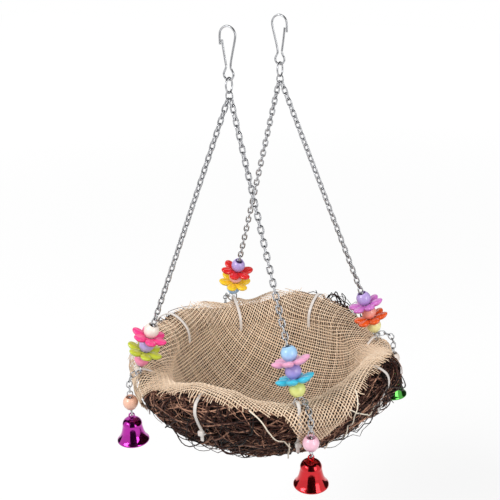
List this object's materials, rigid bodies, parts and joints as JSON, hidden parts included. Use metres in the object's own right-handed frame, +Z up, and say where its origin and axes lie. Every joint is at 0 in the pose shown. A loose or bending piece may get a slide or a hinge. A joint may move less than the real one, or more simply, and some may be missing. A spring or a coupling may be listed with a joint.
{
  "type": "hanging bird nest",
  "caption": "Shallow vine bowl nest lined with burlap, slung on steel chains from two wire snap hooks, with bead and flower stacks and a bell at each corner",
  "frame": {"origin": "on the axis of the bar that the two snap hooks hang on, midway between the hooks", "axes": "+Z up, +Y along the bar from the front hook to the back hook, +X across the bar"},
  "size_m": [0.2131, 0.2131, 0.3304],
  "materials": {
    "steel_wire": "bright plated wire",
    "vine": "dark brown wound vine and twig, bark left on",
    "burlap": "open plain-weave jute, raw edges",
    "nylon": "natural white nylon",
    "plastic_cream": "moulded, glossy",
    "plastic_hot_pink": "moulded, glossy",
    "plastic_lavender": "moulded, glossy",
    "plastic_lime": "moulded, glossy",
    "plastic_mauve_pink": "moulded, glossy",
    "plastic_peach": "moulded, glossy",
    "bell_magenta": "thin steel, metallic lacquer",
    "plastic_light_blue": "moulded, glossy",
    "plastic_light_pink": "moulded, glossy",
    "plastic_violet": "moulded, glossy",
    "plastic_cyan": "moulded, glossy",
    "plastic_lime_yellow": "moulded, glossy",
    "plastic_pale_pink": "moulded, glossy",
    "bell_red": "thin steel, metallic lacquer",
    "plastic_lilac": "moulded, glossy",
    "plastic_orchid": "moulded, glossy",
    "plastic_salmon": "moulded, glossy",
    "plastic_orange": "moulded, glossy",
    "plastic_pale_yellow": "moulded, glossy",
    "bell_green": "thin steel, metallic lacquer",
    "plastic_purple": "moulded, glossy",
    "plastic_bright_red": "moulded, glossy",
    "plastic_rose": "moulded, glossy",
    "plastic_yellow": "moulded, glossy",
    "bell_blue": "thin steel, metallic lacquer"
  },
  "bodies": {
    "hooks": {"front_hook": "steel_wire", "back_hook": "steel_wire"},
    "front_gate": {"front_hook_gate": "steel_wire"},
    "back_gate": {"back_hook_gate": "steel_wire"},
    "front_hang": {"front_hanger": "steel_wire"},
    "back_hang": {"back_hanger": "steel_wire"},
    "front_sling": {"front_left_chain": "steel_wire", "front_right_chain": "steel_wire"},
    "back_sling": {"back_left_chain": "steel_wire", "back_right_chain": "steel_wire"},
    "nest": {"vine_bowl": "vine", "burlap_liner": "burlap", "front_left_ring_tie": "nylon", "front_right_ring_tie": "nylon", "back_right_ring_tie": "nylon", "back_left_ring_tie": "nylon", "left_tie": "nylon", "front_tie": "nylon", "right_tie": "nylon", "back_tie": "nylon", "front_left_rim_ring": "steel_wire", "front_right_rim_ring": "steel_wire", "back_right_rim_ring": "steel_wire", "back_left_rim_ring": "steel_wire"},
    "front_left_top_bead": {"front_left_top_bead": "plastic_cream"},
    "front_left_upper_flower": {"front_left_upper_flower": "plastic_hot_pink"},
    "front_left_middle_bead": {"front_left_middle_bead": "plastic_lavender"},
    "front_left_lower_flower": {"front_left_lower_flower": "plastic_lime"},
    "front_left_bottom_bead": {"front_left_bottom_bead": "plastic_mauve_pink"},
    "front_left_drop_chain": {"front_left_drop_chain": "steel_wire"},
    "front_left_drop_bead": {"front_left_drop_bead": "plastic_peach"},
    "front_left_bell": {"front_left_bell": "bell_magenta"},
    "front_left_clapper": {"front_left_clapper": "steel_wire"},
    "front_right_top_bead": {"front_right_top_bead": "plastic_light_blue"},
    "front_right_upper_flower": {"front_right_upper_flower": "plastic_light_pink"},
    "front_right_middle_bead": {"front_right_middle_bead": "plastic_violet"},
    "front_right_lower_flower": {"front_right_lower_flower": "plastic_cyan"},
    "front_right_bottom_bead": {"front_right_bottom_bead": "plastic_lime_yellow"},
    "front_right_drop_chain": {"front_right_drop_chain": "steel_wire"},
    "front_right_drop_bead": {"front_right_drop_bead": "plastic_pale_pink"},
    "front_right_bell": {"front_right_bell": "bell_red"},
    "front_right_clapper": {"front_right_clapper": "steel_wire"},
    "back_right_top_bead": {"back_right_top_bead": "plastic_lilac"},
    "back_right_upper_flower": {"back_right_upper_flower": "plastic_orchid"},
    "back_right_middle_bead": {"back_right_middle_bead": "plastic_salmon"},
    "back_right_lower_flower": {"back_right_lower_flower": "plastic_orange"},
    "back_right_bottom_bead": {"back_right_bottom_bead": "plastic_pale_yellow"},
    "back_right_drop_chain": {"back_right_drop_chain": "steel_wire"},
    "back_right_drop_bead": {"back_right_drop_bead": "plastic_cream"},
    "back_right_bell": {"back_right_bell": "bell_green"},
    "back_right_clapper": {"back_right_clapper": "steel_wire"},
    "back_left_top_bead": {"back_left_top_bead": "plastic_purple"},
    "back_left_upper_flower": {"back_left_upper_flower": "plastic_bright_red"},
    "back_left_middle_bead": {"back_left_middle_bead": "plastic_rose"},
    "back_left_lower_flower": {"back_left_lower_flower": "plastic_yellow"},
    "back_left_bottom_bead": {"back_left_bottom_bead": "plastic_light_blue"},
    "back_left_drop_chain": {"back_left_drop_chain": "steel_wire"},
    "back_left_drop_bead": {"back_left_drop_bead": "plastic_lime_yellow"},
    "back_left_bell": {"back_left_bell": "bell_blue"},
    "back_left_clapper": {"back_left_clapper": "steel_wire"}
  },
  "joints": [
    {"name": "front_gate_flex", "type": "hinge", "parent": "hooks", "child": "front_gate", "pos_m": [-0.0018, -0.037, -0.02485], "axis": [0, 1, 0], "range_deg": [0, 12], "stiffness_Nm_per_rad": 0.002},
    {"name": "front_hanger_swing", "type": "hinge", "parent": "hooks", "child": "front_hang", "pos_m": [0, -0.037, -0.03035], "axis": [0, 1, 0], "range_deg": [-25, 25]},
    {"name": "front_sling_swing", "type": "hinge", "parent": "front_hang", "child": "front_sling", "pos_m": [0, -0.037, -0.0485], "axis": [1, 0, 0], "range_deg": [-8, 8]},
    {"name": "back_gate_flex", "type": "hinge", "parent": "hooks", "child": "back_gate", "pos_m": [0.0018, 0.037, -0.02485], "axis": [0, -1, 0], "range_deg": [0, 12], "stiffness_Nm_per_rad": 0.002},
    {"name": "back_hanger_swing", "type": "hinge", "parent": "hooks", "child": "back_hang", "pos_m": [0, 0.037, -0.03035], "axis": [0, 1, 0], "range_deg": [-25, 25]},
    {"name": "back_sling_swing", "type": "hinge", "parent": "back_hang", "child": "back_sling", "pos_m": [0, 0.037, -0.0485], "axis": [1, 0, 0], "range_deg": [-8, 8]},
    {"name": "nest_tilt", "type": "hinge", "parent": "front_sling", "child": "nest", "pos_m": [0, -0.07, -0.2516], "axis": [1, 0, 0], "range_deg": [-4.3, 4.3]},
    {"name": "front_left_stack_slide", "type": "slide", "parent": "front_sling", "child": "front_left_bottom_bead", "axis": [0.3104, 0.1483, 0.939], "range_m": [0, 0.11]},
    {"name": "front_left_top_bead_spin", "type": "hinge", "parent": "front_left_bottom_bead", "child": "front_left_top_bead", "pos_m": [-0.0705, -0.07024, -0.2573], "axis": [0.3104, 0.1483, 0.939], "continuous": true},
    {"name": "front_left_upper_flower_spin", "type": "hinge", "parent": "front_left_bottom_bead", "child": "front_left_upper_flower", "pos_m": [-0.0705, -0.07024, -0.2573], "axis": [0.3104, 0.1483, 0.939], "continuous": true},
    {"name": "front_left_middle_bead_spin", "type": "hinge", "parent": "front_left_bottom_bead", "child": "front_left_middle_bead", "pos_m": [-0.0705, -0.07024, -0.2573], "axis": [0.3104, 0.1483, 0.939], "continuous": true},
    {"name": "front_left_lower_flower_spin", "type": "hinge", "parent": "front_left_bottom_bead", "child": "front_left_lower_flower", "pos_m": [-0.0705, -0.07024, -0.2573], "axis": [0.3104, 0.1483, 0.939], "continuous": true},
    {"name": "front_left_drop_swing", "type": "hinge", "parent": "nest", "child": "front_left_drop_chain", "pos_m": [-0.0743, -0.07982, -0.2723], "axis": [-0.7071, 0.7071, 0], "range_deg": [0, 20]},
    {"name": "front_left_drop_bead_spin", "type": "hinge", "parent": "front_left_drop_chain", "child": "front_left_drop_bead", "pos_m": [-0.0743, -0.07982, -0.2854], "axis": [0, 0, 1], "continuous": true},
    {"name": "front_left_bell_swing", "type": "hinge", "parent": "front_left_drop_chain", "child": "front_left_bell", "pos_m": [-0.0743, -0.07982, -0.2965], "axis": [0.7071, -0.7071, 0], "range_deg": [-25, 25]},
    {"name": "front_left_clapper_swing", "type": "hinge", "parent": "front_left_bell", "child": "front_left_clapper", "pos_m": [-0.0743, -0.07982, -0.3009], "axis": [0.7071, -0.7071, 0], "range_deg": [-20, 20]},
    {"name": "front_right_stack_slide", "type": "slide", "parent": "front_sling", "child": "front_right_bottom_bead", "axis": [-0.3217, 0.1538, 0.9343], "range_m": [0, 0.11]},
    {"name": "front_right_top_bead_spin", "type": "hinge", "parent": "front_right_bottom_bead", "child": "front_right_top_bead", "pos_m": [0.07051, -0.07025, -0.2489], "axis": [-0.3217, 0.1538, 0.9343], "continuous": true},
    {"name": "front_right_upper_flower_spin", "type": "hinge", "parent": "front_right_bottom_bead", "child": "front_right_upper_flower", "pos_m": [0.07051, -0.07025, -0.2489], "axis": [-0.3217, 0.1538, 0.9343], "continuous": true},
    {"name": "front_right_middle_bead_spin", "type": "hinge", "parent": "front_right_bottom_bead", "child": "front_right_middle_bead", "pos_m": [0.07051, -0.07025, -0.2489], "axis": [-0.3217, 0.1538, 0.9343], "continuous": true},
    {"name": "front_right_lower_flower_spin", "type": "hinge", "parent": "front_right_bottom_bead", "child": "front_right_lower_flower", "pos_m": [0.07051, -0.07025, -0.2489], "axis": [-0.3217, 0.1538, 0.9343], "continuous": true},
    {"name": "front_right_drop_swing", "type": "hinge", "parent": "nest", "child": "front_right_drop_chain", "pos_m": [0.08322, -0.0777, -0.2639], "axis": [-0.7071, -0.7071, 0], "range_deg": [0, 20]},
    {"name": "front_right_drop_bead_spin", "type": "hinge", "parent": "front_right_drop_chain", "child": "front_right_drop_bead", "pos_m": [0.08322, -0.0777, -0.277], "axis": [0, 0, 1], "continuous": true},
    {"name": "front_right_bell_swing", "type": "hinge", "parent": "front_right_drop_chain", "child": "front_right_bell", "pos_m": [0.08322, -0.0777, -0.2881], "axis": [0.7071, -0.7071, 0], "range_deg": [-25, 25]},
    {"name": "front_right_clapper_swing", "type": "hinge", "parent": "front_right_bell", "child": "front_right_clapper", "pos_m": [0.08322, -0.0777, -0.2925], "axis": [0.7071, -0.7071, 0], "range_deg": [-20, 20]},
    {"name": "back_right_stack_slide", "type": "slide", "parent": "back_sling", "child": "back_right_bottom_bead", "axis": [-0.3104, -0.1483, 0.939], "range_m": [0, 0.11]},
    {"name": "back_right_top_bead_spin", "type": "hinge", "parent": "back_right_bottom_bead", "child": "back_right_top_bead", "pos_m": [0.0705, 0.07024, -0.2573], "axis": [-0.3104, -0.1483, 0.939], "continuous": true},
    {"name": "back_right_upper_flower_spin", "type": "hinge", "parent": "back_right_bottom_bead", "child": "back_right_upper_flower", "pos_m": [0.0705, 0.07024, -0.2573], "axis": [-0.3104, -0.1483, 0.939], "continuous": true},
    {"name": "back_right_middle_bead_spin", "type": "hinge", "parent": "back_right_bottom_bead", "child": "back_right_middle_bead", "pos_m": [0.0705, 0.07024, -0.2573], "axis": [-0.3104, -0.1483, 0.939], "continuous": true},
    {"name": "back_right_lower_flower_spin", "type": "hinge", "parent": "back_right_bottom_bead", "child": "back_right_lower_flower", "pos_m": [0.0705, 0.07024, -0.2573], "axis": [-0.3104, -0.1483, 0.939], "continuous": true},
    {"name": "back_right_drop_swing", "type": "hinge", "parent": "nest", "child": "back_right_drop_chain", "pos_m": [0.0797, 0.08522, -0.2723], "axis": [0.7071, -0.7071, 0], "range_deg": [0, 20]},
    {"name": "back_right_drop_bead_spin", "type": "hinge", "parent": "back_right_drop_chain", "child": "back_right_drop_bead", "pos_m": [0.0797, 0.08522, -0.2854], "axis": [0, 0, 1], "continuous": true},
    {"name": "back_right_bell_swing", "type": "hinge", "parent": "back_right_drop_chain", "child": "back_right_bell", "pos_m": [0.0797, 0.08522, -0.2965], "axis": [0.7071, 0.7071, 0], "range_deg": [-25, 25]},
    {"name": "back_right_clapper_swing", "type": "hinge", "parent": "back_right_bell", "child": "back_right_clapper", "pos_m": [0.0797, 0.08522, -0.3009], "axis": [0.7071, 0.7071, 0], "range_deg": [-20, 20]},
    {"name": "back_left_stack_slide", "type": "slide", "parent": "back_sling", "child": "back_left_bottom_bead", "axis": [0.3217, -0.1538, 0.9343], "range_m": [0, 0.11]},
    {"name": "back_left_top_bead_spin", "type": "hinge", "parent": "back_left_bottom_bead", "child": "back_left_top_bead", "pos_m": [-0.07051, 0.07025, -0.2489], "axis": [0.3217, -0.1538, 0.9343], "continuous": true},
    {"name": "back_left_upper_flower_spin", "type": "hinge", "parent": "back_left_bottom_bead", "child": "back_left_upper_flower", "pos_m": [-0.07051, 0.07025, -0.2489], "axis": [0.3217, -0.1538, 0.9343], "continuous": true},
    {"name": "back_left_middle_bead_spin", "type": "hinge", "parent": "back_left_bottom_bead", "child": "back_left_middle_bead", "pos_m": [-0.07051, 0.07025, -0.2489], "axis": [0.3217, -0.1538, 0.9343], "continuous": true},
    {"name": "back_left_lower_flower_spin", "type": "hinge", "parent": "back_left_bottom_bead", "child": "back_left_lower_flower", "pos_m": [-0.07051, 0.07025, -0.2489], "axis": [0.3217, -0.1538, 0.9343], "continuous": true},
    {"name": "back_left_drop_swing", "type": "hinge", "parent": "nest", "child": "back_left_drop_chain", "pos_m": [-0.08182, 0.0763, -0.2639], "axis": [0.7071, 0.7071, 0], "range_deg": [0, 20]},
    {"name": "back_left_drop_bead_spin", "type": "hinge", "parent": "back_left_drop_chain", "child": "back_left_drop_bead", "pos_m": [-0.08182, 0.0763, -0.277], "axis": [0, 0, 1], "continuous": true},
    {"name": "back_left_bell_swing", "type": "hinge", "parent": "back_left_drop_chain", "child": "back_left_bell", "pos_m": [-0.08182, 0.0763, -0.2881], "axis": [-0.7071, -0.7071, 0], "range_deg": [-25, 25]},
    {"name": "back_left_clapper_swing", "type": "hinge", "parent": "back_left_bell", "child": "back_left_clapper", "pos_m": [-0.08182, 0.0763, -0.2925], "axis": [-0.7071, -0.7071, 0], "range_deg": [-20, 20]}
  ],
  "couplings": [
    {"joint": "back_hanger_swing", "follows": "front_hanger_swing", "ratio": 1},
    {"joint": "back_sling_swing", "follows": "front_sling_swing", "ratio": 1},
    {"joint": "nest_tilt", "follows": "front_sling_swing", "ratio": -0.52857}
  ]
}
